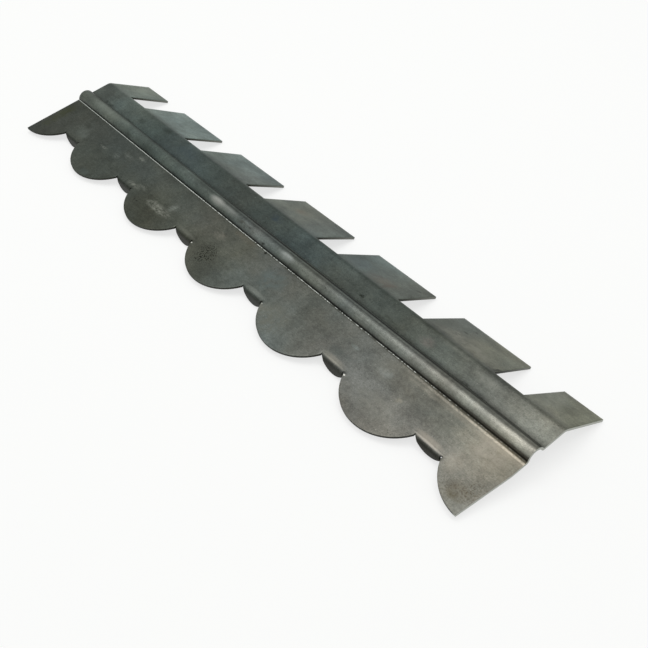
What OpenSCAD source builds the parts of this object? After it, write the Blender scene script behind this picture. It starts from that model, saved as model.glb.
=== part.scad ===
// Louvre slat of an adjustable grain sieve: one strip of sheet steel, blanked with
// round lobes along one side and square teeth along the other, then folded.
// Millimetres. The slat is drawn as it lies on a table, on the tips of its small
// tongues and the edges of its teeth. X runs along the slat, Z points up, and the
// origin is on the table, under the middle of the slat.

/* [Strip] */
// Spacing of the lobes, and of the teeth, along the slat
pitch = 41.3; // [38:0.1:60]
// Number of whole spacings between the two cut ends
bays = 6; // [2:1:10]
// Thickness of the sheet
sheet = 0.8; // [0.5:0.1:1.2]
// Length left beyond the middle of the half lobe at the left-hand cut
left_overhang = 0.4; // [0:0.1:3]
// Length left beyond the middle of the half lobe at the right-hand cut
right_overhang = 1.6; // [0:0.1:3]
// How far the right-hand cut leans in at the tip of its half lobe
right_cut_lean = 1.7; // [0:0.1:3]
// Distance from the foot of the bead to where that cut starts to lean
right_cut_break = 5.7; // [2:0.1:12]

/* [Bead] */
// Diameter of the pivot wire that lies in the channel under the bead
wire_d = 5; // [3:0.1:6]
// Radial clearance between the wire and its channel
wire_clearance = 0.05; // [0:0.05:0.2]
// Depth of the wire's centre below the top of the flat sheet
wire_sink = 1; // [0.5:0.1:1.2]

/* [Lobes] */
// Radius of each round lobe
lobe_r = 17.1; // [16:0.1:18.5]
// Distance from the foot of the bead to the lobe centres
lobe_offset = 7.5; // [6:0.1:8.5]
// Distance from the foot of the bead to the line of the valleys
valley_offset = 15.3; // [14:0.1:17]

/* [Tongues] */
// Angle by which each tongue is folded down
tongue_angle = 75; // [60:1:78]
// Radius of the top surface in the tongue's fold
tongue_fold_r = 2; // [1.5:0.1:2.4]
// Distance from the start of the fold to the line of the valleys
tongue_setback = 1.5; // [1:0.1:2]
// Length of the tongue's face past its fold
tongue_length = 2; // [1.5:0.1:3]
// How far the middle of the tongue's round edge lies to the right of the valley's
tongue_shift = 0.8; // [0:0.1:1]
// How far the circle of that edge reaches past the lobe on its left
tongue_reach = 0.2; // [0.1:0.1:2]
// Radius of the round relief at the right-hand end of each tongue's fold
tongue_relief_r = 0.7; // [0.3:0.1:0.9]

/* [Teeth] */
// Width of the flat between the bead and the bend line
flat_w = 8.6; // [6:0.1:14]
// Angle by which the teeth are bent down
tooth_angle = 35.3; // [25:0.1:42]
// Inner radius of the bend
bend_r = 2.4; // [1:0.1:4]
// Length of the teeth from the bend line
tooth_length = 19.5; // [14:0.1:24]
// Distance from the bend line to the bottom of the slots
slot_offset = 1.2; // [0.8:0.1:3]
// Width of a slot at its bottom
slot_w = 11.5; // [6:0.1:16]
// Distance from the middle of the valley to the middle of the slot opposite it
slot_shift = 0.2; // [-2:0.1:2]
// How far the left-hand side of each tooth leans in along its length
left_lean = 2; // [0:0.1:3]
// How far the right-hand side of each tooth leans out along its length
right_lean = 0.5; // [0:0.1:2]

/* [Hidden] */
$fn = 96;

// In the sheet's own frame X is 0 at the middle of the first lobe, Y is 0 at the
// foot of the bead on the side of the lobes, and Z is 0 on top of the flat sheet.
cut_margin = 5;
root_lap = 1;
bend_steps = 12;
slat_left = -left_overhang;
slat_right = bays * pitch + right_overhang;

bead_ri = wire_d / 2 + wire_clearance;
bead_ro = bead_ri + sheet;
bead_half = sqrt(bead_ro * bead_ro - wire_sink * wire_sink);

lobe_tip = lobe_offset + lobe_r;
lobe_drop = valley_offset - lobe_offset;
valley_half = pitch / 2 - sqrt(lobe_r * lobe_r - lobe_drop * lobe_drop);

fold_start = valley_offset - tongue_setback;
tongue_edge_r = valley_half + tongue_shift + tongue_reach;

bend_line = 2 * bead_half + flat_w;
bend_tangent = (bend_r + sheet) * tan(tooth_angle / 2);

// Section of a sheet that runs flat, bends down round an inner radius and runs on
// straight. It starts from the point where the top of the sheet begins to bend.
function around(r, a) = [r * sin(a), r * cos(a)];
function bent_sheet(flat, r, angle, straight) =
    let (down = [0, -r - sheet], ahead = straight * [cos(angle), -sin(angle)],
         angles = [for (i = [0:bend_steps]) angle * i / bend_steps],
         top = [for (a = angles) down + around(r + sheet, a)],
         under = [for (a = angles) down + around(r, angle - a)])
    concat([[-flat, 0]], top, [top[bend_steps] + ahead, under[0] + ahead], under,
           [[-flat, -sheet]]);

// The corners at the edge of such a sheet: 0 is on top of it, 1 is underneath
function edge_corner(r, angle, straight, i) =
    bent_sheet(0, r, angle, straight)[bend_steps + 2 + i];
function tooth_corner(i) = [bend_line - bend_tangent, 0]
    + edge_corner(bend_r, tooth_angle, tooth_length - bend_tangent, i);
function tongue_corner(i) =
    let (p = edge_corner(tongue_fold_r - sheet, tongue_angle, tongue_length, i))
    [-fold_start - p[0], p[1]];

// Standing on its teeth, the slat tips over until a tongue or a lobe meets the table:
// the first to do so is the one seen from the teeth at the smallest angle.
tooth_foot = tooth_corner(1);
left_feet = [tongue_corner(0), tongue_corner(1), [-lobe_tip, -sheet]];
rest_tilt = min([for (p = left_feet) atan2(p[1] - tooth_foot[1], tooth_foot[0] - p[0])]);

function tipped(p) = [p[0] * cos(rest_tilt) - p[1] * sin(rest_tilt),
                      p[0] * sin(rest_tilt) + p[1] * cos(rest_tilt)];
rest_middle = (tipped([-lobe_tip, 0])[0] + tipped(tooth_corner(0))[0]) / 2;
rest_height = -tipped(tooth_foot)[1];

module louvre_slat() color("#73776f")
    translate([-(slat_left + slat_right) / 2, -rest_middle, rest_height])
    rotate([rest_tilt, 0, 0]) {
        difference() {
            intersection() {
                folded_strip();
                blank();
            }
            at_valleys() slot();
        }
        at_valleys() tongue();
    }

module at_valleys() for (i = [0:bays - 1]) translate([(i + 0.5) * pitch, 0, 0]) children();

// Runs a YZ section along X
module along_x(from, to) translate([from, 0, 0]) rotate([90, 0, 90])
    linear_extrude(to - from) children();

// Runs a YZ section the length of the slat and past both ends
module along_slat(past) along_x(slat_left - past, slat_right + past) children();

// The strip with its bead and its bend, before its outline is blanked
module folded_strip() difference() {
    union() {
        along_slat(cut_margin) translate([bend_line - bend_tangent, 0])
            polygon(bent_sheet(lobe_tip + cut_margin + bend_line - bend_tangent, bend_r,
                               tooth_angle, tooth_length - bend_tangent));
        along_slat(cut_margin) intersection() {
            translate([bead_half, -wire_sink]) circle(bead_ro);
            translate([-cut_margin, -sheet / 2]) square(2 * bead_ro + cut_margin);
        }
    }
    along_slat(2 * cut_margin) translate([bead_half, -wire_sink]) circle(bead_ri);
}

// The outline in plan: both ends, the lobes and the valleys between them
module blank() translate([0, 0, tooth_foot[1] - cut_margin])
    linear_extrude(bead_ro - tooth_foot[1] + 2 * cut_margin) difference() {
        union() {
            translate([-lobe_r, -fold_start - tongue_setback / 2])
                square([bays * pitch + 2 * lobe_r,
                        fold_start + tongue_setback / 2 + bend_line + tooth_length]);
            for (i = [0:bays]) translate([i * pitch, -lobe_offset]) circle(lobe_r);
        }
        at_valleys() translate([-valley_half, -valley_offset - cut_margin])
            square([2 * valley_half, cut_margin + tongue_setback]);
        left_cut();
        right_cut();
    }

// What each cut takes off, in plan
module left_cut() translate([slat_left - 2 * lobe_r, -lobe_tip - cut_margin])
    square([2 * lobe_r, lobe_tip + bend_line + tooth_length + 2 * cut_margin]);

module right_cut() translate([slat_right, -right_cut_break]) {
    slope = right_cut_lean / (lobe_tip - right_cut_break);
    below = lobe_tip - right_cut_break + cut_margin;
    above = right_cut_break + bend_line + tooth_length + cut_margin;
    polygon([[0, 0], [0, above], [2 * lobe_r, above], [2 * lobe_r, -below],
             [-slope * below, -below]]);
}

// Cuts square to the teeth, from the bottom of the slot out past their edges
module slot() translate([0, bend_line, 0]) rotate([-tooth_angle, 0, 0])
    translate([slot_shift, 0, -sheet - cut_margin]) linear_extrude(sheet + 2 * cut_margin) {
        reach = tooth_length + cut_margin;
        lean = (reach - slot_offset) / (tooth_length - slot_offset);
        polygon([[-slot_w / 2, slot_offset], [slot_w / 2, slot_offset],
                 [slot_w / 2 + lean * left_lean, reach],
                 [-slot_w / 2 + lean * right_lean, reach]]);
    }

// A round-edged tongue, folded down in a valley, with a relief cut square through its fold
module tongue() difference() {
    along_x(-valley_half, valley_half) translate([-fold_start, 0]) mirror([1, 0])
        polygon(bent_sheet(root_lap, tongue_fold_r - sheet, tongue_angle,
                           tongue_length + cut_margin));
    translate([0, tongue_corner(0)[0], tongue_corner(0)[1]]) rotate([180 + tongue_angle, 0, 0])
        translate([0, 0, -cut_margin]) linear_extrude(2 * cut_margin) difference() {
            translate([-valley_half - cut_margin, -tongue_edge_r])
                square([2 * (valley_half + cut_margin), tongue_edge_r + 2 * cut_margin]);
            translate([tongue_shift, -tongue_edge_r]) circle(tongue_edge_r);
        }
    translate([valley_half, -fold_start, -tongue_fold_r]) rotate([tongue_angle / 2, 0, 0])
        cylinder(r = tongue_relief_r, h = tongue_fold_r + cut_margin);
}

louvre_slat();
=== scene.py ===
# %% [markdown]
# # A louvre slat, folded from its flat blank
#
# The slat is one strip of thin sheet steel. A press cuts its outline while it is flat:
# round lobes along one edge, square teeth along the other. Then it rolls a round bead
# along the strip, bends the teeth down, and folds a small tongue down in each valley
# between two lobes. This lesson makes the mesh in the same order. One bay of the blank
# is drawn flat, Geometry Nodes repeat it along the strip and carry every point from the
# flat blank to the folded section, and two modifiers give the sheet its thickness and
# soften its sheared edges.
#
# The imported model is loaded first, as a fixed frame. It gives the slat's true box.

# %% Load the frame
import math

import bmesh
import bpy
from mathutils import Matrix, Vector


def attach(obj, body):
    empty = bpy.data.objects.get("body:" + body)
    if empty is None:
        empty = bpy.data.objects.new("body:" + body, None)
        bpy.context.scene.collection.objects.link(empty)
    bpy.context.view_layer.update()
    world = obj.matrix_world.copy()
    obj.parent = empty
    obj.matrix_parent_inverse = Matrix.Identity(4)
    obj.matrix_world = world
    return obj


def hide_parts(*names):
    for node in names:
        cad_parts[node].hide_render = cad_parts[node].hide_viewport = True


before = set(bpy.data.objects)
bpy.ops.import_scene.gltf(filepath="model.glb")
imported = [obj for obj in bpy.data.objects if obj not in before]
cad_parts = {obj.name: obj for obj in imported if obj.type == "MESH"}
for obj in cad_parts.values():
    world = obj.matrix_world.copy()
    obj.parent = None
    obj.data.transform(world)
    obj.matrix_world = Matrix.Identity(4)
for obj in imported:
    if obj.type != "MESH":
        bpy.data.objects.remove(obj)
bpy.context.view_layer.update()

MM = 0.001

# %% [markdown]
# ## The camera and the studio
#
# The camera comes first, so that each later step can be looked at as soon as it is
# made. It stands close to the slat's near end and looks along it from above, so the far
# end shrinks. A blade this long and thin needs that perspective to read well, and the
# place, the turn and the lens below are what give it.

# %% Camera
CAMERA_PLACE = Vector((221.5, -147.7, 202.8)) * MM
CAMERA_TURN = (48.23, 0.31, 51.58)
CAMERA_LENS = 53.53
CAMERA_SENSOR = 36

link = bpy.context.scene.collection.objects.link
camera_data = bpy.data.cameras.new("camera")
camera_data.lens = CAMERA_LENS
camera_data.sensor_width = CAMERA_SENSOR
camera_data.clip_start = 1 * MM
camera = bpy.data.objects.new("camera", camera_data)
camera.location = CAMERA_PLACE
camera.rotation_euler = [math.radians(a) for a in CAMERA_TURN]
link(camera)
bpy.context.scene.camera = camera
print("camera stands", round(camera.location.length / MM), "mm from the slat's middle")

# %% [markdown]
# Two helpers serve the whole file. Colours are written as sRGB hex values, the way a
# paint chart gives them, and one function turns them into the linear values that
# Blender's shaders work with. The other adds a node of any kind with its settings, sets
# the stops of a colour ramp, and links or fills the inputs, so that a long tree stays
# readable. Most nodes' kinds start with "ShaderNode", so it writes that part itself.

# %% Helpers for colours and nodes
def linear(hex_colour):
    """The linear RGBA of an sRGB hex colour."""
    def channel(text):
        c = int(text, 16) / 255
        return c / 12.92 if c <= 0.04045 else ((c + 0.055) / 1.055) ** 2.4
    text = hex_colour.lstrip("#")
    return (*(channel(text[i:i + 2]) for i in (0, 2, 4)), 1)


def add(tree, kind, inputs=None, stops=(), **settings):
    """Adds a node. An input is a value, or the node or socket to link; stops are a ramp's."""
    node = tree.nodes.new(kind if "Node" in kind else "ShaderNode" + kind)
    for name, value in settings.items():
        setattr(node, name, value)
    for i, (place, colour) in enumerate(stops):
        elements = node.color_ramp.elements
        stop = elements[i] if i < 2 else elements.new(place)
        stop.position, stop.color = place, colour
    for key, value in (inputs or {}).items():
        if isinstance(value, bpy.types.Node):
            value = value.outputs[0]
        if isinstance(value, bpy.types.NodeSocket):
            tree.links.new(value, node.inputs[key])
        else:
            node.inputs[key].default_value = value
    return node


print("helpers: linear(hex) and add(tree, kind, inputs, stops, settings)")

# %% [markdown]
# ## The light
#
# Bare steel shows little colour of its own and mostly mirrors what stands round it, so
# the surroundings are half of its look. The world is a pale studio, white overhead and
# greyer towards the horizon, and a little darker on the side that the far end mirrors.
# Two lamps hang over the slat: a long strip above its axis, which the bead's crown
# mirrors as one thin line, and a wide fill that keeps the flat faces even. The slat is
# seen on the floor alone, so the world needs no other colour for the camera.

# %% World
SKY = ((0.0, "#c8ccc8"), (0.5, "#b4b9b5"), (0.75, "#d2d5d2"), (1.0, "#ffffff"))

world = bpy.data.worlds.new("studio")
world.use_nodes = True
bpy.context.scene.world = world
tree = world.node_tree
tree.nodes.clear()
direction = add(tree, "TexCoord").outputs["Generated"]
toward = add(tree, "SeparateXYZ", {"Vector": direction}).outputs
sky = add(tree, "ValToRGB", {"Fac": toward["Z"]},
          stops=[(place, linear(colour)) for place, colour in SKY])
side = add(tree, "MapRange", {
    "Value": toward["Y"], "From Min": -1.0, "From Max": 0.4, "To Min": 0.85, "To Max": 1.05},
    interpolation_type="SMOOTHSTEP")
studio_light = add(tree, "Background", {"Color": sky, "Strength": side})
add(tree, "OutputWorld", {"Surface": studio_light})
print("world: a pale studio, with", len(SKY), "greys from the ground to overhead")

# %% Lamps
def softbox(name, place, aim, width, length, watts):
    """A rectangular lamp at a place, turned to face its aim. Sizes are in mm."""
    data = bpy.data.lights.new(name, "AREA")
    data.shape, data.size, data.size_y, data.energy = "RECTANGLE", width * MM, length * MM, watts
    lamp = bpy.data.objects.new(name, data)
    lamp.location = Vector(place) * MM
    lamp.rotation_euler = (Vector(aim) - Vector(place)).to_track_quat("-Z", "Y").to_euler()
    link(lamp)


softbox("strip", (-210, -110, 650), (-210, -110, 0), 400, 200, 0.6)
softbox("fill", (0, 200, 900), (0, 200, 0), 900, 260, 1.9)

# %% [markdown]
# The floor is a large pale plane that fills the whole view, a hair under the slat's feet.
# It takes the slat's shadow as any floor does, and part of what the camera sees of it is
# plain white light, which lifts it to white without putting more light on the slat.
# Mirrored and transmitted rays see the same white.

# %% Floor
FLOOR_HALF = 3000
FLOOR_DROP = 0.02
FLOOR_SHADOW_SHARE = 0.3

floor_mesh = bpy.data.meshes.new("floor")
corners = [Vector((x * FLOOR_HALF, y * FLOOR_HALF, -FLOOR_DROP)) * MM
           for x, y in ((-1, -1), (1, -1), (1, 1), (-1, 1))]
floor_mesh.from_pydata(corners, [], [(0, 1, 2, 3)])
floor = bpy.data.objects.new("floor", floor_mesh)
link(floor)

paper = bpy.data.materials.new("studio_paper")
paper.use_nodes = True
tree = paper.node_tree
tree.nodes.clear()
path = add(tree, "LightPath").outputs
lit = add(tree, "BsdfDiffuse", {"Color": linear("#fbfbf9")})
white = add(tree, "Emission", {"Color": (1, 1, 1, 1), "Strength": 1.0})
seen = add(tree, "Math", {0: path["Is Camera Ray"], 1: path["Is Glossy Ray"]}, operation="ADD")
seen = add(tree, "Math", {0: seen, 1: path["Is Transmission Ray"]}, operation="ADD", use_clamp=True)
share = add(tree, "Math", {0: seen, 1: 1 - FLOOR_SHADOW_SHARE}, operation="MULTIPLY")
both = add(tree, "MixShader", {"Fac": share, 1: lit, 2: white})
add(tree, "OutputMaterial", {"Surface": both})
floor_mesh.materials.append(paper)
print("floor", FLOOR_DROP, "mm under the slat, material", paper.name)

# %% [markdown]
# ## The folded section
#
# A press brake operator thinks of a section as a walk along the sheet: so far straight,
# then a bend of this radius through this angle, then straight again. A bend moves the
# heading and a straight moves the place, and the length walked is the length in the flat
# blank. The walk below follows the middle of the sheet, because that line neither
# stretches nor shrinks in a bend. Its first point is the tip of a lobe, and the small
# upward bends on both sides of the bead are the tight creases at its feet. Places on it
# are measured from the bead's foot on the lobes' side, and from the sheet's top.

# %% Sizes of the section, in mm
SHEET = 0.8
LOBE_TIP = 24.6
VALLEY_LINE = 15.3
BEAD_OUTER_R = 3.35
BEAD_SINK = 1.0
CREASE_R = 0.65
FLAT_W = 8.6
BEND_R = 2.4
TOOTH_ANGLE = 35.3
TOOTH_LENGTH = 19.5
SLOT_OFFSET = 1.2
TONGUE_SETBACK = 0.9
TONGUE_FOLD_R = 1.38
TONGUE_ANGLE = 75.0
TONGUE_LENGTH = 2.47

# The crease circle touches the sheet's middle line and the bead's middle circle
bead_r = BEAD_OUTER_R - SHEET / 2
bead_half = math.sqrt(BEAD_OUTER_R ** 2 - BEAD_SINK ** 2)
crease_reach = math.sqrt((bead_r + CREASE_R) ** 2 - (CREASE_R + BEAD_SINK - SHEET / 2) ** 2)
crease_turn = math.degrees(math.asin(crease_reach / (bead_r + CREASE_R)))
bend_r = BEND_R + SHEET / 2
bend_tangent = (BEND_R + SHEET) * math.tan(math.radians(TOOTH_ANGLE) / 2)
flat_run = FLAT_W - bend_tangent - (crease_reach - bead_half)
tongue_fold_r = TONGUE_FOLD_R - SHEET / 2
fold_start = VALLEY_LINE - TONGUE_SETBACK
print("bead", round(2 * bead_half, 2), "mm wide, each crease turns", round(crease_turn, 1), "degrees")

# %% Walk the section
BEND_STEP = 6.0


def walk(moves, place, heading=0.0):
    """Points (y, z) of a folded strip. A move is ("straight", length) or ("bend", radius, degrees up)."""
    points = [Vector(place)]
    for kind, *sizes in moves:
        if kind == "straight":
            points.append(points[-1] + sizes[0] * Vector((math.cos(heading), math.sin(heading))))
            continue
        radius, turn = sizes[0], math.radians(sizes[1])
        side = math.copysign(1, turn)
        centre = points[-1] + side * radius * Vector((-math.sin(heading), math.cos(heading)))
        steps = max(2, math.ceil(abs(sizes[1]) / BEND_STEP))
        for i in range(1, steps + 1):
            h = heading + turn * i / steps
            points.append(centre + side * radius * Vector((math.sin(h), -math.cos(h))))
        heading += turn
    return points


def runs(points):
    """The length walked at each point, which is its place in the flat blank."""
    walked = [0.0]
    for a, b in zip(points, points[1:]):
        walked.append(walked[-1] + (b - a).length)
    return walked


section = walk([
    ("straight", LOBE_TIP + bead_half - crease_reach),
    ("bend", CREASE_R, crease_turn),
    ("bend", bead_r, -2 * crease_turn),
    ("bend", CREASE_R, crease_turn),
    ("straight", flat_run),
    ("bend", bend_r, -TOOTH_ANGLE),
    ("straight", TOOTH_LENGTH - bend_tangent),
], (-LOBE_TIP, -SHEET / 2))
section_runs = runs(section)

tongue_section = walk([
    ("bend", tongue_fold_r, TONGUE_ANGLE),
    ("straight", TONGUE_LENGTH),
], (-fold_start, -SHEET / 2), math.pi)
print("section:", len(section), "points,", round(section_runs[-1], 2), "mm of sheet")

# %% [markdown]
# ## One bay of the blank, flat
#
# A bay runs from the middle of one lobe to the middle of the next. On the lobed side it
# is half a lobe, a valley with its tongue, and half a lobe, and on the other side half a
# tooth, a slot, and half a tooth. The mesh is laid out in columns across the strip, which
# slide from the lobes' cuts to the teeth's cuts on their way, so both cuts are clean.
# X is the length along the strip and Y is the run of the walk above.
#
# Every point of a tongue is marked, for the later steps, because the tongue folds along a
# line of its own.

# %% Sizes of the blank, in mm
PITCH = 41.3
BAYS = 6
LOBE_R = 17.1
LOBE_OFFSET = 7.5
SLOT_W = 11.5
SLOT_SHIFT = 0.2
LEFT_LEAN = 2.0
RIGHT_LEAN = 0.5
TONGUE_SHIFT = 0.8
TONGUE_REACH = 0.2
SHEAR_GAP = 0.05
RELIEF_R = 0.7
SHORTEST_TONGUE = 0.15

valley_half = PITCH / 2 - math.sqrt(LOBE_R ** 2 - (VALLEY_LINE - LOBE_OFFSET) ** 2)
tongue_edge_r = valley_half + TONGUE_SHIFT + TONGUE_REACH
slot_middle = PITCH / 2 + SLOT_SHIFT
lobe_cuts = (PITCH / 2 - valley_half, PITCH / 2 + valley_half)
slot_cuts = (slot_middle - SLOT_W / 2, slot_middle + SLOT_W / 2)

fold_run = LOBE_TIP - fold_start
tooth_run = section_runs[-1]
bend_end_run = tooth_run - (TOOTH_LENGTH - bend_tangent)
bend_start_run = bend_end_run - bend_r * math.radians(TOOTH_ANGLE)
slot_run = bend_end_run + SLOT_OFFSET - bend_tangent
print("the tongues fold at run", round(fold_run, 2), "and the slots start at", round(slot_run, 2))

# %% Columns
SIDE_COLUMNS = 17
MIDDLE_COLUMNS = 14


def spread(start, end, count):
    return [start + (end - start) * i / count for i in range(count + 1)]


def column_places(cuts):
    """Where the columns stand along a bay, with its two cuts at the same column numbers."""
    left = spread(0, cuts[0], SIDE_COLUMNS)
    middle = spread(cuts[0], cuts[1], MIDDLE_COLUMNS)
    right = spread(cuts[1], PITCH, SIDE_COLUMNS)
    return left + middle[1:] + right[1:]


lobe_columns = column_places(lobe_cuts)
slot_columns = column_places(slot_cuts)
first_cut, second_cut = SIDE_COLUMNS, SIDE_COLUMNS + MIDDLE_COLUMNS
left_side = range(0, first_cut + 1)
between_cuts = range(first_cut, second_cut + 1)
right_side = range(second_cut, len(lobe_columns))
print("columns in a bay:", len(lobe_columns) - 1)

# %% Rows and outlines
LONGEST_ROW = 1.1
LOBE_ROWS = 12
TOOTH_ROWS = 18
TONGUE_ROWS = 9

strip_rows = [fold_run]
for run in [r for r in section_runs if fold_run < r < slot_run] + [slot_run]:
    parts = max(1, math.ceil((run - strip_rows[-1]) / LONGEST_ROW))
    strip_rows += spread(strip_rows[-1], run, parts)[1:]


def lobe_edge(x):
    """The run of the lobed edge at x, on a round lobe centred at each end of the bay."""
    across = min(x, PITCH - x)
    return LOBE_TIP - LOBE_OFFSET - math.sqrt(LOBE_R ** 2 - across ** 2)


def tongue_edge(x):
    """The length of the tongue at x: its round edge is a circle drawn on the folded face."""
    across = x - PITCH / 2 - TONGUE_SHIFT
    drop = tongue_edge_r - math.sqrt(tongue_edge_r ** 2 - across ** 2)
    if drop < TONGUE_LENGTH:
        return tongue_fold_r * math.radians(TONGUE_ANGLE) + TONGUE_LENGTH - drop
    left = math.asin(min(1.0, (drop - TONGUE_LENGTH) / tongue_fold_r))
    return max(SHORTEST_TONGUE, tongue_fold_r * (math.radians(TONGUE_ANGLE) - left))


def slide(run):
    """0 on the lobes' columns, 1 on the slots' columns."""
    start, end = section_runs[0] + LOBE_TIP, bend_start_run
    return min(1.0, max(0.0, (run - start) / (end - start)))


def relief(length):
    """How far the tongue's right-hand side is bitten in at this length along it."""
    centre = tongue_fold_r * math.radians(TONGUE_ANGLE) / 2
    return math.sqrt(max(0.0, RELIEF_R ** 2 - (length - centre) ** 2))


print("rows across the strip:", len(strip_rows))

# %% The bay's mesh
bay = bmesh.new()
on_tongue = bay.verts.layers.float.new("tongue")


def point(x, run, tongue=0.0):
    vert = bay.verts.new(Vector((x, run, 0)) * MM)
    vert[on_tongue] = tongue
    return vert


def skin(grid):
    """Quads between the rows of a grid of points."""
    for row, above in zip(grid, grid[1:]):
        for i in range(len(row) - 1):
            bay.faces.new((row[i], row[i + 1], above[i + 1], above[i]))


strip = []
for run in strip_rows:
    s = slide(run)
    strip.append([point(a + (b - a) * s, run) for a, b in zip(lobe_columns, slot_columns)])
skin(strip)
print("strip:", len(bay.faces), "quads")

# %% Lobes, teeth and the tongue
for side in (left_side, right_side):
    lobe = [[strip[0][i] for i in side]]
    for k in range(1, LOBE_ROWS + 1):
        lobe.append([point(lobe_columns[i], fold_run + (lobe_edge(lobe_columns[i]) - fold_run)
                           * k / LOBE_ROWS) for i in side])
    skin(lobe[::-1])

for side, seam, cut, lean in ((left_side, 0, slot_cuts[0], RIGHT_LEAN),
                              (right_side, PITCH, slot_cuts[1], LEFT_LEAN)):
    tooth = [[strip[-1][i] for i in side]]
    for k in range(1, TOOTH_ROWS + 1):
        part = k / TOOTH_ROWS
        growth = 1 + part * lean / (cut - seam)
        tooth.append([point(seam + (slot_columns[i] - seam) * growth,
                            slot_run + (tooth_run - slot_run) * part) for i in side])
    skin(tooth)

tongue = [[strip[0][i] for i in between_cuts]]
for k in range(1, TONGUE_ROWS + 1):
    row = []
    for i in between_cuts:
        x = lobe_columns[i]
        length = tongue_edge(x) * k / TONGUE_ROWS
        share = (x - lobe_cuts[0]) / (lobe_cuts[1] - lobe_cuts[0])
        x += SHEAR_GAP * (1 - 2 * share) - relief(length) * share ** 4
        row.append(point(x, fold_run - length, 1.0))
    tongue.append(row)
skin(tongue[::-1])

bay_mesh = bpy.data.meshes.new("bay_blank")
bay.to_mesh(bay_mesh)
bay.free()
print("bay:", len(bay_mesh.vertices), "points,", len(bay_mesh.polygons), "quads")

# %% [markdown]
# The two walks become curves, because Geometry Nodes can ask a curve for the place at
# any length along it. That is exactly what folding is: a point that lies so far across
# the blank ends up so far along the section.

# %% Section curves
def section_curve(name, points):
    data = bpy.data.curves.new(name, "CURVE")
    data.dimensions = "3D"
    spline = data.splines.new("POLY")
    spline.points.add(len(points) - 1)
    for target, (y, z) in zip(spline.points, points):
        target.co = (0, y * MM, z * MM, 1)
    curve = bpy.data.objects.new(name, data)
    link(curve)
    return curve


strip_curve = section_curve("strip_section", section)
tongue_curve = section_curve("tongue_section", tongue_section)
print("curves:", strip_curve.name, tongue_curve.name)

# %% [markdown]
# ## Folding with Geometry Nodes
#
# The tree repeats the bay along the strip and welds the seams, moves the two end cuts
# out to where the shears left them, and then folds. Before the fold it stores where each
# point lay in the blank, in millimetres, as the attribute the steel's finish will read:
# rolling marks and stains belong to the sheet and follow it round every bend. The two
# tongues nearest the right-hand end lost part of their edge, so they are cut short there.
#
# A pressed slat is never quite true, so each tooth is left a little less bent than its
# neighbour and the whole sheet waves by a few hundredths of a millimetre. Both come from
# a fixed seed, so every run gives the same slat.

# %% Inputs of the folding tree
LEFT_OVERHANG = 0.4
RIGHT_OVERHANG = 1.6
RIGHT_CUT_LEAN = 1.7
RIGHT_CUT_START = 5.7
WAVE_HEIGHT = 0.12
LENGTH_INPUTS = {
    "Pitch": PITCH, "Left Overhang": LEFT_OVERHANG, "Right Overhang": RIGHT_OVERHANG,
    "Right Cut Lean": RIGHT_CUT_LEAN, "Bend End": bend_end_run, "Fold Line": fold_run, "Wave": WAVE_HEIGHT}

fold = bpy.data.node_groups.new("fold_slat", "GeometryNodeTree")
sockets = [
    ("Geometry", "Geometry", None), ("Bays", "Int", BAYS), ("Seed", "Int", 3),
    ("Tongue Trim", "Float", 0.25), ("Tooth Spread", "Float", 0.02), ("Strip Section", "Object", None),
    ("Tongue Section", "Object", None), ("Steel", "Material", None)]
sockets += [(name, "Float", size * MM) for name, size in LENGTH_INPUTS.items()]
for name, kind, value in sockets:
    socket = fold.interface.new_socket(name, in_out="INPUT", socket_type="NodeSocket" + kind)
    if value is not None:
        socket.default_value = value
fold.interface.new_socket("Geometry", in_out="OUTPUT", socket_type="NodeSocketGeometry")
given = add(fold, "NodeGroupInput").outputs
print("inputs:", ", ".join(name for name, *_ in sockets))

# %% Repeat the bay, and weld the seams
WELD = 0.004 * MM

step = add(fold, "CombineXYZ", {"X": given["Pitch"]})
starts = add(fold, "GeometryNodeMeshLine", {"Count": given["Bays"], "Offset": step})
copies = add(fold, "GeometryNodeInstanceOnPoints", {"Points": starts, "Instance": given["Geometry"]})
flat = add(fold, "GeometryNodeRealizeInstances", {"Geometry": copies})
flat = add(fold, "GeometryNodeMergeByDistance", {"Geometry": flat, "Distance": WELD})
print("welded:", BAYS, "bays")

# %% Move the end cuts: only the last few millimetres of sheet stretch to reach them
END_ZONE = 4 * MM

place = add(fold, "GeometryNodeInputPosition")
parts = add(fold, "SeparateXYZ", {0: place}).outputs
near_left = add(fold, "MapRange", {"Value": parts["X"], "From Min": END_ZONE, "From Max": 0.0})
left_move = add(fold, "Math", {0: near_left, 1: given["Left Overhang"]}, operation="MULTIPLY")
whole = add(fold, "Math", {0: given["Pitch"], 1: given["Bays"]}, operation="MULTIPLY")
from_right = add(fold, "Math", {0: whole, 1: parts["X"]}, operation="SUBTRACT")
near_right = add(fold, "MapRange", {"Value": from_right, "From Min": END_ZONE, "From Max": 0.0})
lean_share = add(fold, "MapRange", {
    "Value": parts["Y"], "From Min": (LOBE_TIP - RIGHT_CUT_START) * MM, "From Max": 0.0})
lean_in = add(fold, "Math", {0: lean_share, 1: given["Right Cut Lean"]}, operation="MULTIPLY")
reach_out = add(fold, "Math", {0: given["Right Overhang"], 1: lean_in}, operation="SUBTRACT")
right_move = add(fold, "Math", {0: near_right, 1: reach_out}, operation="MULTIPLY")
end_move = add(fold, "Math", {0: right_move, 1: left_move}, operation="SUBTRACT")
end_move = add(fold, "CombineXYZ", {"X": end_move})
flat = add(fold, "GeometryNodeSetPosition", {"Geometry": flat, "Offset": end_move})

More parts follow.
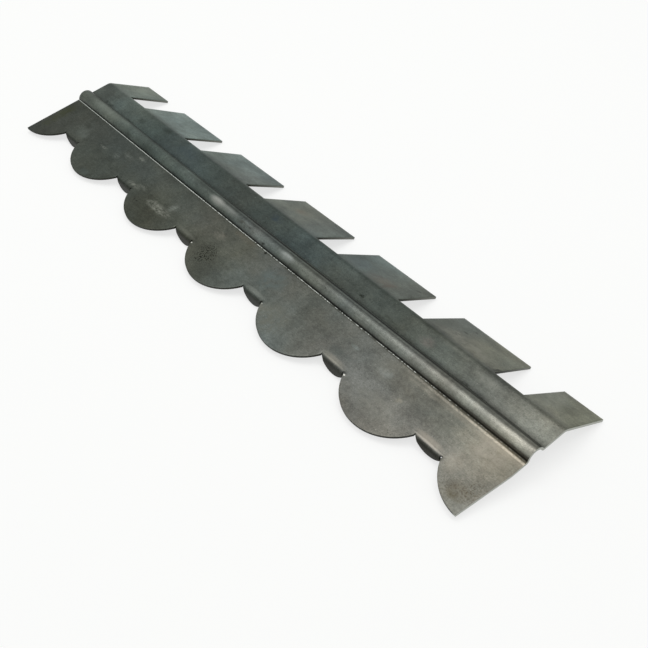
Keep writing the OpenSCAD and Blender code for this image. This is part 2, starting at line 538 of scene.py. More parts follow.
# Keep the place in the blank, in millimetres, for the finish
in_mm = add(fold, "VectorMath", {0: place, "Scale": 1 / MM}, operation="SCALE")
flat = add(fold, "GeometryNodeStoreNamedAttribute", {
    "Geometry": flat, "Name": "blank", "Value": in_mm}, data_type="FLOAT_VECTOR")
print("end cuts", LEFT_OVERHANG, "and", RIGHT_OVERHANG, "mm past the outer lobes' middles")

# %% Fold: ask each section for the place at this length
TRIM_START, TRIM_END = 4.3 * PITCH * MM, 5.6 * PITCH * MM

strip_walk = add(fold, "GeometryNodeObjectInfo", {"Object": given["Strip Section"]}).outputs["Geometry"]
strip_at = add(fold, "GeometryNodeSampleCurve", {
    "Curves": strip_walk, "Length": parts["Y"]}, mode="LENGTH").outputs["Position"]
tongue_walk = add(fold, "GeometryNodeObjectInfo", {"Object": given["Tongue Section"]}).outputs["Geometry"]
tongue_length = add(fold, "Math", {0: given["Fold Line"], 1: parts["Y"]}, operation="SUBTRACT")
trim = add(fold, "MapRange", {
    "Value": parts["X"], "From Min": TRIM_START, "From Max": TRIM_END, "To Max": given["Tongue Trim"]})
kept = add(fold, "Math", {0: 1.0, 1: trim}, operation="SUBTRACT")
tongue_length = add(fold, "Math", {0: tongue_length, 1: kept}, operation="MULTIPLY")
tongue_at = add(fold, "GeometryNodeSampleCurve", {
    "Curves": tongue_walk, "Length": tongue_length}, mode="LENGTH").outputs["Position"]
is_tongue = add(fold, "GeometryNodeInputNamedAttribute", {"Name": "tongue"}, data_type="FLOAT")
folded_at = add(fold, "Mix", {0: is_tongue, 4: strip_at, 5: tongue_at}, data_type="VECTOR").outputs[1]
folded = add(fold, "SeparateXYZ", {0: folded_at}).outputs
folded_place = add(fold, "CombineXYZ", {"X": parts["X"], "Y": folded["Y"], "Z": folded["Z"]})
slat = add(fold, "GeometryNodeSetPosition", {"Geometry": flat, "Position": folded_place})
print("the tongues shorten between", round(TRIM_START / MM), "and", round(TRIM_END / MM), "mm along")

# %% Spring each tooth back by an angle of its own, turned about the end of its bend
blank_place = add(fold, "GeometryNodeInputNamedAttribute", {"Name": "blank"}, data_type="FLOAT_VECTOR")
blank_parts = add(fold, "SeparateXYZ", {0: blank_place}).outputs
blank_run = add(fold, "Math", {0: blank_parts["Y"], 1: MM}, operation="MULTIPLY")
past_bend = add(fold, "Math", {0: blank_run, 1: given["Bend End"]}, operation="SUBTRACT")
past_bend = add(fold, "Math", {0: past_bend, 1: 0.0}, operation="MAXIMUM")
tooth_number = add(fold, "Math", {0: parts["X"], 1: given["Pitch"]}, operation="DIVIDE")
tooth_number = add(fold, "Math", {0: tooth_number}, operation="ROUND")
spring = add(fold, "FunctionNodeRandomValue", {
    "Min": 0.0, "Max": given["Tooth Spread"], "ID": tooth_number, "Seed": given["Seed"]},
    data_type="FLOAT").outputs["Value"]
spring = add(fold, "Math", {0: spring, 1: past_bend}, operation="MULTIPLY")
tooth_up = Vector((0, math.sin(math.radians(TOOTH_ANGLE)), math.cos(math.radians(TOOTH_ANGLE))))
spring_move = add(fold, "VectorMath", {0: tooth_up, "Scale": spring}, operation="SCALE")
slat = add(fold, "GeometryNodeSetPosition", {"Geometry": slat, "Offset": spring_move})
print("springback moves along", [round(v, 2) for v in tooth_up])

# %% Wave the whole sheet a little, and end the tree
WAVE_LENGTH = 45

wave = add(fold, "TexNoise", {
    "Vector": blank_place, "W": given["Seed"], "Scale": 1 / WAVE_LENGTH, "Detail": 1.5},
    noise_dimensions="4D")
wave = add(fold, "Math", {0: wave, 1: 0.5}, operation="SUBTRACT")
wave = add(fold, "Math", {0: wave, 1: given["Wave"]}, operation="MULTIPLY")
wave_move = add(fold, "CombineXYZ", {"Z": wave})
slat = add(fold, "GeometryNodeSetPosition", {"Geometry": slat, "Offset": wave_move})

slat = add(fold, "GeometryNodeSetShadeSmooth", {"Geometry": slat})
slat = add(fold, "GeometryNodeRealizeInstances", {"Geometry": slat})
slat = add(fold, "GeometryNodeSetMaterial", {"Geometry": slat, "Material": given["Steel"]})
add(fold, "NodeGroupOutput", {"Geometry": slat})
print("folding tree:", len(fold.nodes), "nodes")

# %% Fold the slat
steel = bpy.data.materials.new("bare_rolled_steel")
sheared = bpy.data.materials.new("sheared_steel_edge")
steel.use_nodes = sheared.use_nodes = True

slat_blank = bpy.data.objects.new("slat_blank", bay_mesh)
link(slat_blank)
modifier = slat_blank.modifiers.new("fold", "NODES")
modifier.node_group = fold
inputs = {item.name: item.identifier for item in fold.interface.items_tree if item.in_out == "INPUT"}
for name, value in (("Strip Section", strip_curve), ("Tongue Section", tongue_curve), ("Steel", steel)):
    modifier[inputs[name]] = value
graph = bpy.context.evaluated_depsgraph_get()
slat_mesh = bpy.data.meshes.new_from_object(slat_blank.evaluated_get(graph))
slat_mesh.name = "louvre_slat_sheet"
for helper in (slat_blank, strip_curve, tongue_curve):
    bpy.data.objects.remove(helper)
print("folded sheet:", len(slat_mesh.vertices), "points,", len(slat_mesh.polygons), "quads")

# %% [markdown]
# ## At rest on the table
#
# Left alone, the slat lies on its teeth and tips over until the tips of its tongues meet
# the table. The tilt is the angle between those two lowest edges, and it is worked out
# from the two walks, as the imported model's own rest is.

# %% Tip the slat to rest
def edge_of(points, side):
    """A corner of the sheet at the end of a walk, half a thickness to its left (1) or right (-1)."""
    along = (points[-1] - points[-2]).normalized()
    return points[-1] + side * SHEET / 2 * Vector((-along.y, along.x))


tooth_foot = edge_of(section, -1)
left_feet = [edge_of(tongue_section, 1), edge_of(tongue_section, -1), Vector((-LOBE_TIP, -SHEET))]
tilt = min(math.atan2(p.y - tooth_foot.y, tooth_foot.x - p.x) for p in left_feet)


def tipped(p):
    return Vector((p.x * math.cos(tilt) - p.y * math.sin(tilt), p.x * math.sin(tilt) + p.y * math.cos(tilt)))


middle_y = (tipped(Vector((-LOBE_TIP, 0))).x + tipped(edge_of(section, 1)).x) / 2
middle_x = (BAYS * PITCH + RIGHT_OVERHANG - LEFT_OVERHANG) / 2
lift = -tipped(tooth_foot).y
for vert in slat_mesh.vertices:
    flat_place = tipped(Vector(vert.co.yz) / MM)
    vert.co = Vector((vert.co.x / MM - middle_x, flat_place.x - middle_y, flat_place.y + lift)) * MM
print("tilt:", round(math.degrees(tilt), 2), "degrees, lift:", round(lift, 2), "mm")

# %% [markdown]
# Solidify gives the sheet its thickness, half to each side of the walked line, and its
# rim takes the material of a sheared edge. The underside is marked as another layer of the
# blank, so that every noise gives it marks of its own. A small bevel takes the sharpness
# off the edges, as a press leaves them, and the bends are too shallow to be touched by it.

# %% Thickness and edges
EDGE_ROUND = 0.1
EDGE_ANGLE = 60
UNDERSIDE = 60.0


def finished(item):
    """The item's mesh with its modifiers worked in, which are then removed."""
    graph = bpy.context.evaluated_depsgraph_get()
    item.data = bpy.data.meshes.new_from_object(item.evaluated_get(graph))
    item.modifiers.clear()


slat_mesh.materials.append(sheared)
slat = bpy.data.objects.new("louvre_slat_sheet", slat_mesh)
link(slat)
top_points = len(slat_mesh.vertices)
thicken = slat.modifiers.new("sheet", "SOLIDIFY")
thicken.thickness = SHEET * MM
thicken.offset = 0
thicken.use_even_offset = True
thicken.material_offset_rim = 1
finished(slat)
for i, entry in enumerate(slat.data.attributes["blank"].data):
    entry.vector.z = 0 if i < top_points else UNDERSIDE

soften = slat.modifiers.new("sheared_edges", "BEVEL")
soften.width = EDGE_ROUND * MM
soften.segments = 2
soften.limit_method = "ANGLE"
soften.angle_limit = math.radians(EDGE_ANGLE)
finished(slat)
slat.data.name = "louvre_slat_sheet"
print("finished sheet:", sum(len(p.vertices) - 2 for p in slat.data.polygons), "triangles")

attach(slat, "root")
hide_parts("louvre_slat")

# %% [markdown]
# ## The steel
#
# The slat is bare cold-rolled mild steel, oiled and never painted. The rolls leave a
# fine grain along the strip and a dull, even sheen. Oil, water and handling then stain
# it unevenly, darker and greener at one end, worn lighter and warmer at the other, and
# part of that change along the strip is painted light. On a flat swatch that would be
# one noise, but on a pressed part the marks follow the form: the crown of the bead is
# rubbed bright and carries painted highlights and shade, its feet hold dirt and painted
# shade, and the crease beside the bead is a thin bright line, partly polished and partly
# a painted reflection. So the finish is built band by band, from the place that each
# point had in the blank.

# %% Where a point lay in the blank
SLAT_RUN = BAYS * PITCH

tree = steel.node_tree
tree.nodes.clear()
blank = add(tree, "Attribute", attribute_name="blank").outputs["Vector"]
in_blank = add(tree, "SeparateXYZ", {"Vector": blank}).outputs
along, run = in_blank["X"], in_blank["Y"]
on_top = add(tree, "Math", {0: in_blank["Z"], 1: 0.5 * UNDERSIDE}, operation="LESS_THAN")
print("the finish reads the blank,", round(SLAT_RUN, 1), "mm long")

# %% [markdown]
# Stains, mottle, pits and specks are all irregular, and each is drawn by one noise of its
# own size, given in millimetres. Noises that must not follow each other lie in layers of
# their own, and those of the marks that run along the strip are stretched that way.

# %% Noises
NOISES = {
    # name: size in mm, layer, detail, roughness
    "borders": (16, None, 5.0, 0.62), "clouds": (19, None, 7.0, 0.66), "blotches": (4.2, 13.0, 3.0, 0.6),
    "mottle": (1.1, None, 3.0, 0.6), "fine": (0.42, None, 2.0, 0.7), "cast": (34, 4.0, 5.0, 0.6),
    "breaks": (0.8, 9.0, 2.0, 0.5), "frays": (3.5, 2.0, 4.0, 0.7), "dots": (0.55, 5.0, 1.0, 0.5),
    "patches": (2.6, 11.0, 5.0, 0.7), "specks": (0.55, 7.0, 1.0, 0.5),
}
STRETCHED = {
    # name: length and width in mm, detail, roughness
    "grain": (30, 0.35, 3.0, 0.7), "streaks": (2.0, 1.1, 4.0, 0.7),
}

noises = {}
for name, (size, layer, detail, roughness) in NOISES.items():
    noises[name] = add(tree, "TexNoise", {
        "Vector": blank, "Scale": 1 / size, "Detail": detail, "Roughness": roughness,
        **({"W": layer} if layer else {})}, noise_dimensions="4D" if layer else "3D").outputs
for name, (length, width, detail, roughness) in STRETCHED.items():
    stretch = add(tree, "Mapping", {"Vector": blank, "Scale": (1 / length, 1 / width, 1)})
    noises[name] = add(tree, "TexNoise", {
        "Vector": stretch, "Scale": 1.0, "Detail": detail, "Roughness": roughness}).outputs
print("noises:", ", ".join(noises))

# %% Ragged borders: a place is read a little off its true one, along and across
WANDER = {"borders": (30.0, 5.0, 0), "frays": (4.0, 2.2, 0)}

strayed = {}
for name, reach in WANDER.items():
    off = add(tree, "VectorMath", {0: noises[name]["Color"], 1: (0.5, 0.5, 0.5)}, operation="SUBTRACT")
    strayed[name] = add(tree, "VectorMath", {0: off, 1: reach, 2: blank}, operation="MULTIPLY_ADD")
ragged = add(tree, "SeparateXYZ", {"Vector": strayed["borders"]}).outputs
along_share = add(tree, "Math", {0: ragged["X"], 1: SLAT_RUN}, operation="DIVIDE")
print("ragged borders:", WANDER)

# %% Tones along each band
# Where the tones stand along the strip, in mm
STRIP_PLACES = (4, 20, 41, 62, 83, 104, 124, 145, 165, 186, 206, 227, 243)
TOOTH_PLACES = (4, 33, 49, 75, 91, 116, 132, 157, 173, 199, 214, 234, 245)
# Each band's tones at these places, as hex values from the first end to the last
# The tones are partly painted light: part of their change along the strip is the fall of light, and the
# flat's darker tones are partly painted shade from the bead.
TONES = {
    "lobe": "4e514d 525753 545852 50534d 484b44 575850 565851 616561 5a5f5d 6b6b67 6b6a65 605f5a 75736b",
    "flange": "464944 555955 4d524f 525652 5a5d56 585953 5b5b52 646662 525653 60615d 5d5c56 666761 6f6d64",
    "bead": "666b66 838a83 5e6560 5e6865 646b66 5a5f5b 696c6a 686d68 5b5f5d 676964 6c6c67 7d7d76 82817a",
    "flat": "5a5f5b 656f6c 505955 4c5657 4f5856 454a47 4b524f 485151 4b504c 494c46 565a55 575955 74756e",
    "tooth": "788178 798785 7f8e8d 798480 68706e 71766e 606764 65716f 70746c 676b65 818275 818178 7e8174",
}
tones = {}
for band, colours in TONES.items():
    places = TOOTH_PLACES if band == "tooth" else STRIP_PLACES
    stops = [(place / SLAT_RUN, linear(colour)) for place, colour in zip(places, colours.split())]
    tones[band] = add(tree, "ValToRGB", {"Fac": along_share}, stops=stops)
print("bands:", ", ".join(TONES))

# %% The bead's crown: painted highlight and shade
# Across the bead its tone is painted lighter on the left flank and crown and darker on the right flank, as
# painted highlight and painted shade, most of all at the last end.
# Shares of the band's tone, by run in mm; a ramp holds them halved, as it has no value above 1
BEAD_PAINTED_SHADING = {
    "first end": ((25.1, 0.7), (25.6, 0.62), (25.95, 0.75), (26.3, 0.95), (27.0, 1.1), (27.5, 1.09),
                  (28.4, 0.96), (28.9, 0.97), (29.4, 1.0), (29.8, 0.93), (30.2, 0.78), (30.6, 0.54),
                  (31.2, 0.44), (31.6, 0.18), (32.3, 0.14)),
    "middle": ((25.1, 0.45), (25.6, 0.85), (25.9, 1.0), (26.4, 1.46), (27.0, 1.93), (27.5, 1.6),
               (28.0, 1.15), (28.5, 0.95), (29.0, 0.7), (29.4, 0.6), (29.75, 1.1), (30.0, 0.95),
               (30.25, 0.28), (30.65, 0.08), (30.9, 0.3), (31.2, 1.5), (31.5, 1.1), (32.3, 0.3)),
    "last end": ((25.1, 0.42), (25.7, 0.55), (25.95, 0.6), (26.3, 0.8), (26.65, 1.45), (27.0, 1.98),
                 (27.5, 1.62), (28.0, 1.05), (28.4, 1.0), (28.76, 0.78), (29.1, 0.62), (29.46, 0.62),
                 (29.8, 0.72), (30.1, 0.8), (30.4, 0.42), (30.75, 0.22), (31.0, 0.36), (31.3, 0.8),
                 (31.6, 0.5), (32.3, 0.12)),
}
BEAD_RUN, BEAD_SPAN = 25.0, 8.0

across = {}
run_share = add(tree, "MapRange", {"Value": run, "From Min": BEAD_RUN, "From Max": BEAD_RUN + BEAD_SPAN})
for end, stops in BEAD_PAINTED_SHADING.items():
    across[end] = add(tree, "ValToRGB", {"Fac": run_share}, stops=[
        ((place - BEAD_RUN) / BEAD_SPAN, (share / 2, share / 2, share / 2, 1)) for place, share in stops])
share = across["first end"]
for part, start, end in (("middle", 55.0, 120.0), ("last end", 196.0, 230.0)):
    toward = add(tree, "MapRange", {"Value": along, "From Min": start, "From Max": end})
    share = add(tree, "Mix", {0: toward, 6: share, 7: across[part]}, data_type="RGBA").outputs[2]
share = add(tree, "VectorMath", {0: share, "Scale": 2.0}, operation="SCALE")
tones["bead"] = add(tree, "VectorMath", {0: tones["bead"], 1: share}, operation="MULTIPLY")
print("across the bead:", ", ".join(BEAD_PAINTED_SHADING))

# %% Painted shade at the foot of the flat beside the bead, which thins out over 2 or 3 mm and is darkest at the last end
painted_shade_left = add(tree, "MapRange", {
    "Value": along, "From Min": 130.0, "From Max": 232.0, "To Min": 0.74, "To Max": 0.24})
foot_shade = add(tree, "MapRange", {
    "Value": run, "From Min": 32.2, "From Max": 35.4, "To Min": painted_shade_left, "To Max": 1.0},
    interpolation_type="SMOOTHSTEP")
tones["flat"] = add(tree, "VectorMath", {0: tones["flat"], "Scale": foot_shade}, operation="SCALE")
print("painted_shade on the flat, from 74 to 24 percent of the light left at its foot")

# %% Join the bands: each takes over from the last between two runs, and a stain's border is ragged
BORDERS = (
    # band, the run that is read, start and end in mm
    ("flange", ragged["Y"], 11.5, 18.0), ("bead", run, 24.9, 25.4),
    ("flat", run, 32.0, 32.6), ("tooth", ragged["Y"], 40.6, 45.5),
)

colour = tones["lobe"]
for band, reader, start, end in BORDERS:
    share = add(tree, "MapRange", {"Value": reader, "From Min": start, "From Max": end},
                interpolation_type="SMOOTHSTEP")
    colour = add(tree, "Mix", {0: share, 6: colour, 7: tones[band]}, data_type="RGBA").outputs[2]
print("borders:", len(BORDERS))

# %% [markdown]
# Over the tones lie the marks that every such sheet has: clouds of oil and water some
# 20 mm wide, blotches of 4 mm, a mottle as fine as a grain of sand and one finer still,
# and the grain of the rolls. Each lightens or darkens the tone by a share. The roll's
# grain is really finer than 0.1 mm; it is drawn 0.35 mm wide, so that it shows at all.

# %% Clouds, mottle and grain
FACTORS = {
    # noise: its darkest and lightest value, and the shares of the tone that they leave
    "clouds": (0.3, 0.7, 0.66, 1.34), "blotches": (0.3, 0.7, 0.88, 1.12), "mottle": (0.25, 0.75, 0.8, 1.2),
    "fine": (0.3, 0.7, 0.80, 1.20), "grain": (0.3, 0.7, 0.91, 1.09),
}

factors = {}
for name, (start, end, dark, light) in FACTORS.items():
    factors[name] = add(tree, "MapRange", {
        "Value": noises[name][0], "From Min": start, "From Max": end, "To Min": dark, "To Max": light})
    colour = add(tree, "VectorMath", {0: colour, "Scale": factors[name]}, operation="SCALE")

# Oil leaves a warm brown cast, water a cold one
cast = add(tree, "MapRange", {"Value": noises["cast"][0], "From Min": 0.38, "From Max": 0.62})
cast = add(tree, "Mix", {0: cast, 4: (0.965, 1.0, 1.02), 5: (1.045, 1.0, 0.94)},
           data_type="VECTOR").outputs[1]
colour = add(tree, "VectorMath", {0: colour, 1: cast}, operation="MULTIPLY")
print("the tone is varied by", ", ".join(FACTORS), "and a cast")

# %% [markdown]
# ## Wear, painted shade and painted reflection that follow the form
#
# The bead is rubbed along its crown, where a hand or the next slat touches it first. Its
# feet are tight inner corners that hold oil and dirt and lie in shade, so a dark line of
# dirt and painted shade runs along each. On the lobes' side the fold's outer corner beside
# that line is a bright line, partly worn through to bright metal and partly a painted
# reflection of the light overhead, whole at one end and broken into dots at the other.
#
# Each line and mark from here on is kept as a layer, which is a share and a tint, and
# they are laid over the tones in this order at the end.

# %% The feet of the bead
FOOT_LINES = (
    # the two lines at the bead's feet are dirt together with painted shade in the creases
    # name, middle run, half width, colour, strength at the first end, strength at the last end
    ("left foot shade and dirt", 25.35, 0.50, "#1d1f1b", 0.60, 0.70),
    ("right foot shade and dirt", 32.7, 0.45, "#171917", 0.25, 0.50),
    ("worn corner's gaps", 24.45, 0.60, "#34332c", 0.0, 0.75),
)
LINE_CORE = 0.35


def line(middle, half_width):
    """1 in the middle of a line along the strip's top side, 0 at its borders."""
    off = add(tree, "Math", {0: run, 1: middle}, operation="SUBTRACT")
    off = add(tree, "Math", {0: off}, operation="ABSOLUTE")
    return add(tree, "MapRange", {
        "Value": off, "From Min": half_width, "From Max": LINE_CORE * half_width, "To Max": on_top},
        interpolation_type="SMOOTHSTEP")


layers = []
for name, middle, half_width, tint, first, last in FOOT_LINES:
    strength = add(tree, "MapRange", {
        "Value": along, "From Max": SLAT_RUN, "To Min": first, "To Max": last})
    share = add(tree, "Math", {0: line(middle, half_width), 1: strength}, operation="MULTIPLY")
    layers.append((share, tint))
print("foot lines:", [entry[0] for entry in FOOT_LINES])

# %% The worn corner, which also carries a painted reflection, is bare where a noise is below a limit, which falls towards the last end
limit = add(tree, "MapRange", {
    "Value": along, "From Min": 55.0, "From Max": 190.0, "To Min": 0.68, "To Max": 0.51})
limit_end = add(tree, "Math", {0: limit, 1: 0.12}, operation="SUBTRACT")
worn = add(tree, "MapRange", {"Value": noises["breaks"][0], "From Min": limit, "From Max": limit_end})
dulled = add(tree, "MapRange", {
    "Value": along, "From Min": 100.0, "From Max": 230.0, "To Min": 1.0, "To Max": 0.60})
for factor in (line(24.62, 0.36), dulled):
    worn = add(tree, "Math", {0: worn, 1: factor}, operation="MULTIPLY")
# pale tint of worn metal and a painted reflection of the overhead light in the crease
layers.append((worn, "#e4e7e2"))
print("the worn corner breaks up over the length")

# %% At the last end painted shade darkens the foot of the bead's flank, a speckled dark line runs along the corner, and the lobe beside it is rubbed pale
last_end = add(tree, "MapRange", {"Value": along, "From Min": 200.0, "From Max": 240.0})
specky = add(tree, "MapRange", {
    "Value": noises["breaks"][0], "From Min": 0.62, "From Max": 0.42, "To Min": 0.25})
LAST_LINES = (
    # middle run, half width, colour, strength, what breaks it up
    # the first line is painted shade on the foot of the bead's flank
    (25.8, 0.70, "#2e261b", 0.50, 1.0), (24.4, 0.75, "#4a4234", 0.75, specky),
    (23.5, 0.50, "#cbc1b0", 0.55, specky), (22.7, 1.50, "#a59c8c", 0.22, 1.0),
)
for middle, half_width, tint, strength, breaks in LAST_LINES:
    share = line(middle, half_width)
    for factor in (last_end, breaks, strength):
        share = add(tree, "Math", {0: share, 1: factor}, operation="MULTIPLY")
    layers.append((share, tint))
print("lines at the last end:", len(LAST_LINES))

# %% [markdown]
# ## Marks in their places
#
# The noises above repeat the character of the steel, but some marks belong to this one
# slat: pale scuffs where it slid, a patch of rust pits on one lobe, rubbed spots on the
# bead that also carry a painted highlight, smudges of oil. Other spots are painted light:
# pale bands along the folds of four tongues are painted highlights, three bright points at
# the tongues' corners are painted glints, and two black spots beside the last tongue are
# painted shade in its gap. Each is an ellipse in the blank with its own tint. A pale scuff
# is broken into streaks along the strip and a patch of pits into dots. A smudge is patchy
# with a ragged border, and a spot stays whole with a clean one.

# %% Scuffs, smudges, spots and pits
MARKS = (
    # kind, then for each mark: along, run, half length, half width, tint, strength
    ("scuff", (85, 10.6, 10, 2.6, "#a6a79d", 0.7), (66, 11.4, 5, 1.4, "#9c9e95", 0.65),
     (70, 12.8, 4, 1.1, "#90938b", 0.6), (55.5, 21.9, 3, 1.3, "#94978f", 0.65),
     (50, 18.9, 4.5, 1.6, "#858983", 0.55), (45.5, 15.8, 3, 1.7, "#858a84", 0.55),
     (37, 15.3, 3.2, 1.1, "#8d9089", 0.8), (89, 14.6, 3, 2.6, "#a3a8a2", 0.5),
     (114, 18, 4, 2.5, "#8f8a7f", 0.45), (186, 18.4, 2.4, 0.9, "#8b9693", 0.4)),
    ("smudge", (240, 19.5, 8, 6, "#918b80", 0.5), (236, 11, 4, 5, "#857f74", 0.45)),
    ("scuff", (212, 22, 9, 1.2, "#a19c90", 0.35), (150, 7.5, 6, 3, "#8d8a7f", 0.4)),
    ("smudge", (22.5, 13.8, 5, 3.2, "#727873", 0.5), (19.5, 18, 3.2, 1.7, "#34362f", 0.45),
     (3, 14, 4, 13, "#484b31", 0.6), (44, 2.5, 4, 2.5, "#5d6663", 0.5),
     (145, 17.5, 7.5, 7, "#606c6b", 0.55), (200, 18.3, 4, 2.2, "#8a8f8c", 0.35),
     (185, 13.6, 6, 2.4, "#4c514e", 0.55), (226.5, 15.4, 4.5, 3, "#52534c", 0.6),
     (210.3, 14.2, 1.7, 1.4, "#918c7c", 0.45), (243, 5, 5, 4, "#5d5648", 0.5),
     (117.8, 9.6, 6, 6.4, "#42453e", 0.55), (121, 23.2, 9, 1.6, "#6b655a", 0.4),
     (118, 27.3, 7, 1.3, "#4a463c", 0.55), (40, 26.6, 5, 0.9, "#3e423c", 0.5),
     (171.5, 35.4, 1.3, 0.9, "#191b17", 0.9), (169, 35.5, 3, 0.9, "#2b2e29", 0.55),
     (48.4, 40, 3.6, 1.8, "#343b37", 0.65), (34.2, 36.4, 3.6, 2, "#343b36", 0.7),
     (13, 33.6, 5, 1.2, "#272c26", 0.75), (30, 33.1, 6.5, 1, "#2b322c", 0.65),
     (122, 38.8, 4, 2.2, "#3a444c", 0.6), (219.5, 33.5, 2.2, 0.8, "#22241f", 0.75),
     (186, 35, 4.5, 0.6, "#2f322c", 0.55), (200, 36.8, 4, 2.6, "#6e6763", 0.45),
     (224, 38.6, 8, 2.4, "#85867e", 0.45), (66, 37.5, 8, 3.5, "#47535a", 0.35),
     (172.3, 45.5, 1.6, 5.5, "#4e4840", 0.6), (169, 47, 8, 5.5, "#726a61", 0.6),
     (157, 47, 5, 6, "#5f686c", 0.5), (120, 51.5, 2, 1.8, "#574f45", 0.55),
     (120, 51.5, 4.5, 4, "#857e70", 0.45), (200, 55.5, 3, 4, "#525951", 0.6),
     (243.5, 52, 4, 4.5, "#5a5c4d", 0.6), (41, 54, 6, 3, "#63706a", 0.3),
     (208, 41.6, 12, 2.2, "#777971", 0.55), (206, 8.5, 12, 6, "#76766e", 0.4),
     (206, 22, 14, 2.2, "#5d5c54", 0.35)),
    ("scuff", (202, 49, 4, 2.5, "#a6a398", 0.5), (210, 47, 8, 3, "#8d8b80", 0.45)),
    # rubbed spots on the bead's crown, which also carry a painted highlight
    ("spot", (100.5, 27.9, 5.5, 1.9, "#b9b8b3", 0.65), (107, 27.9, 8, 1.5, "#a2a4a0", 0.45),
     (141.5, 27.7, 5, 1.7, "#a4a8a6", 0.6), (18, 28.6, 14, 2.2, "#8a9088", 0.5),
     # painted highlights along the folds of the tongues
     (226.5, 11.3, 7.5, 1.5, "#a39b8e", 0.34), (226.7, 10.3, 7.5, 0.6, "#cfc6bb", 0.28),
     (185.2, 11, 7, 1.3, "#949085", 0.32), (185.5, 10.3, 7, 0.6, "#aaa69a", 0.25),
     (145, 10.9, 7, 1.1, "#858983", 0.38), (103.5, 10.9, 6.5, 1, "#7a7b72", 0.34),
     # three painted glints on torn burrs at the tongues' corners, then two black spots of painted shade in
     # the gap beside the last tongue
     (109.2, 9.2, 0.4, 0.4, "#f0eee7", 1), (150.5, 9.2, 0.35, 0.35, "#dddbd3", 0.7),
     (191.8, 9.2, 0.45, 0.4, "#f0eee7", 1), (232.9, 7.9, 0.4, 1.2, "#0c0c0a", 1),
     (233.9, 6.4, 0.45, 1.1, "#0c0c0a", 1)),
    ("smudge", (221.3, 45, 1, 2.4, "#1f211b", 0.9), (202.2, 57.2, 1.3, 0.9, "#30342b", 0.8),
     (201.6, 52.4, 1.5, 0.8, "#383c33", 0.7), (177, 56, 1.1, 0.7, "#2c2f29", 0.8)),
    ("pits", (117.8, 9.4, 6, 6.6, "#171510", 1), (241, 5, 7, 4.5, "#3d372b", 0.36),
     (74, 7.5, 3, 1.5, "#24251f", 0.9), (246, 8, 3.5, 6, "#4a4234", 0.6)),
    ("spot", (132.8, 23.8, 0.9, 0.7, "#1c1c18", 0.9)),
    ("smudge", (120.2, 27.4, 1.1, 0.6, "#2a2923", 0.9), (129.6, 26.5, 1.4, 0.6, "#302f29", 0.8),
     (3, 46.5, 5, 4.5, "#5c6156", 0.55), (3, 57, 5, 4, "#939891", 0.5), (32, 57, 6, 4.5, "#949f99", 0.5),
     (91, 45.5, 6, 4, "#545a57", 0.45), (83, 57, 6, 4, "#5b6562", 0.4), (119, 45, 10, 3.4, "#525752", 0.5),
     (124, 57, 5, 3.6, "#545853", 0.45), (165, 50, 5, 12, "#4f5452", 0.45),
     (207, 46, 15, 4, "#96948a", 0.6), (209, 50.5, 7, 4, "#8f8d81", 0.45),
     (209, 57.5, 9, 4, "#54564e", 0.5), (237, 51, 4.5, 12, "#93948a", 0.45),
     (196, 51.5, 3.5, 5, "#575c55", 0.5), (243.5, 3.8, 3.4, 2, "#45402f", 0.36),
     (158, 7.5, 10, 8, "#67665c", 0.55)),
)
MARK_CORE = 0.25

streaks = add(tree, "MapRange", {"Value": noises["streaks"][0], "From Min": 0.38, "From Max": 0.66})
dots = add(tree, "MapRange", {"Value": noises["dots"][0], "From Min": 0.54, "From Max": 0.59})
patches = add(tree, "MapRange", {
    "Value": noises["patches"][0], "From Min": 0.40, "From Max": 0.56, "To Min": 0.25})
BROKEN_BY = {"scuff": streaks, "smudge": patches, "spot": 1.0, "pits": dots}

for kind, *group in MARKS:
    for x, y, half_length, half_width, tint, strength in group:
        reach = blank if kind == "spot" else strayed["frays"]
        reach = add(tree, "VectorMath", {0: reach, 1: (x, y, 0)}, operation="SUBTRACT")
        reach = add(tree, "VectorMath", {0: reach, 1: (1 / half_length, 1 / half_width, 1)},
                    operation="MULTIPLY")
        reach = add(tree, "VectorMath", {0: reach}, operation="LENGTH").outputs["Value"]
        share = add(tree, "MapRange", {
            "Value": reach, "From Min": 1.0, "From Max": MARK_CORE, "To Max": strength},
            interpolation_type="SMOOTHSTEP")
        share = add(tree, "Math", {0: share, 1: BROKEN_BY[kind]}, operation="MULTIPLY")
        layers.append((share, tint))
print("marks:", sum(len(group) for kind, *group in MARKS))

# %% [markdown]
# The tongues hang down out of the light, so past the fold they take a dark tint, which is
# painted shade. Specks of rust and bare points lie all over, a little thicker than in
# life, where most are finer than 0.3 mm.

# %% The tongues, and specks all over
on_tongue = add(tree, "Attribute", attribute_name="tongue").outputs["Fac"]
past_fold = add(tree, "MapRange", {
    "Value": run, "From Min": fold_run - 0.2, "From Max": fold_run - 1.3, "To Max": 0.75},
    interpolation_type="SMOOTHSTEP")
in_shade = add(tree, "Math", {0: on_tongue, 1: past_fold}, operation="MULTIPLY")
# painted shade on the tongues past the fold
layers.append((in_shade, "#15160f"))
for start, end, strength, tint in ((0.70, 0.76, 0.55, "#1f201b"), (0.27, 0.22, 0.25, "#b4b5ac")):
    share = add(tree, "MapRange", {
        "Value": noises["specks"][0], "From Min": start, "From Max": end, "To Max": strength})
    layers.append((share, tint))

for share, tint in layers:
    colour = add(tree, "Mix", {0: share, 6: colour, 7: linear(tint)}, data_type="RGBA").outputs[2]
print("layers over the tones:", len(layers))

# %% [markdown]
# Rolled steel is neither polished nor matt. Oil fills its pores, so the pale clouds are
# the smoother ones, and the rubbed crown of the bead is the smoothest place of all. The
# grain and the mottle are felt as a relief of some hundredths of a millimetre.

# %% Roughness, relief and bare steel
RELIEF_DEPTH = 0.02

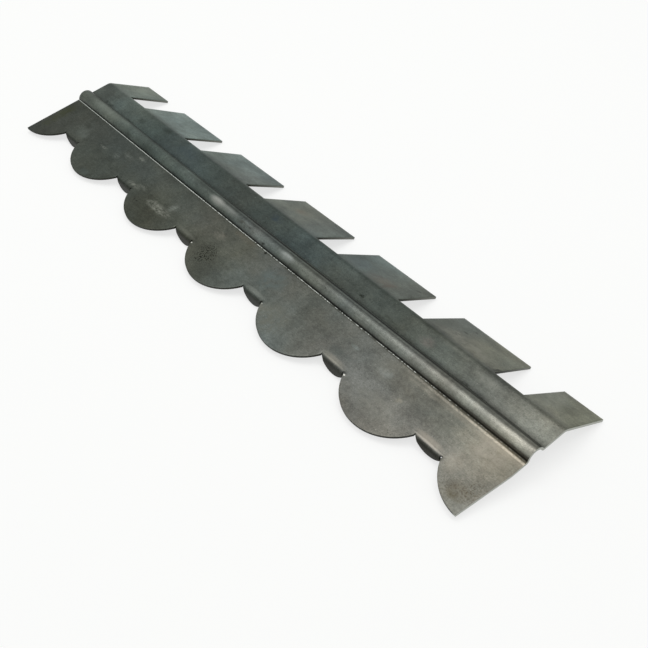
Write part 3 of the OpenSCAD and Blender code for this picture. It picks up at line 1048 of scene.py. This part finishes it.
sheen = add(tree, "MapRange", {
    "Value": factors["clouds"], "From Min": 0.7, "From Max": 1.3, "To Min": 0.46, "To Max": 0.38})
mottle = noises["mottle"][0]
for part, change in ((line(28.3, 1.9), -0.06), (mottle, 0.08)):
    sheen = add(tree, "Math", {0: part, 1: change, 2: sheen}, operation="MULTIPLY_ADD")
relief_height = add(tree, "Math", {0: noises["grain"][0], 1: 0.4, 2: mottle}, operation="MULTIPLY_ADD")
bump = add(tree, "Bump", {"Strength": 0.5, "Distance": RELIEF_DEPTH * MM, "Height": relief_height})
shader = add(tree, "BsdfPrincipled", {
    "Base Color": colour, "Metallic": 1.0, "Roughness": sheen, "Normal": bump})
add(tree, "OutputMaterial", {"Surface": shader})
print("bare steel:", len(tree.nodes), "nodes")

# %% [markdown]
# The press leaves a sheared edge all round. Its upper part is smooth where the punch
# cut, the rest is torn, and the whole edge is dark, partly with age and partly as painted
# shade, so from above it draws a thin dark line round every lobe and slot. It is rubbed
# paler towards the tips of the teeth, and the right-hand end, which was cut later, is paler
# still.

# %% Sheared edge
tree = sheared.node_tree
tree.nodes.clear()
edge_place = add(tree, "Attribute", attribute_name="blank").outputs["Vector"]
edge_parts = add(tree, "SeparateXYZ", {"Vector": edge_place}).outputs
torn = add(tree, "TexNoise", {"Vector": edge_place, "Scale": 1 / 0.8, "Detail": 2.0})
aged = add(tree, "MapRange", {"Value": torn, "From Min": 0.35, "From Max": 0.75})
handled = add(tree, "MapRange", {
    "Value": edge_parts["Y"], "From Min": 44.0, "From Max": 58.0, "To Max": 0.75})
fresh = add(tree, "MapRange", {
    "Value": edge_parts["X"], "From Min": SLAT_RUN - 1.5, "From Max": SLAT_RUN - 0.5, "To Max": 0.9})
# the dark base is oxide and painted shade
edge_colour = linear("#262722")
for share, tint in ((aged, "#4d4e48"), (handled, "#84867f"), (fresh, "#b5b7b0")):
    edge_colour = add(tree, "Mix", {0: share, 6: edge_colour, 7: linear(tint)},
                      data_type="RGBA").outputs[2]
edge_bump = add(tree, "Bump", {"Strength": 0.6, "Distance": 0.03 * MM, "Height": torn})
shader = add(tree, "BsdfPrincipled", {
    "Base Color": edge_colour, "Metallic": 1.0, "Roughness": 0.55, "Normal": edge_bump})
add(tree, "OutputMaterial", {"Surface": shader})
print("sheared edge:", len(tree.nodes), "nodes")

# %% [markdown]
# ## Finishing
#
# The last cell sets the colour management.

# %% Colour management
bpy.context.scene.view_settings.view_transform = "Standard"
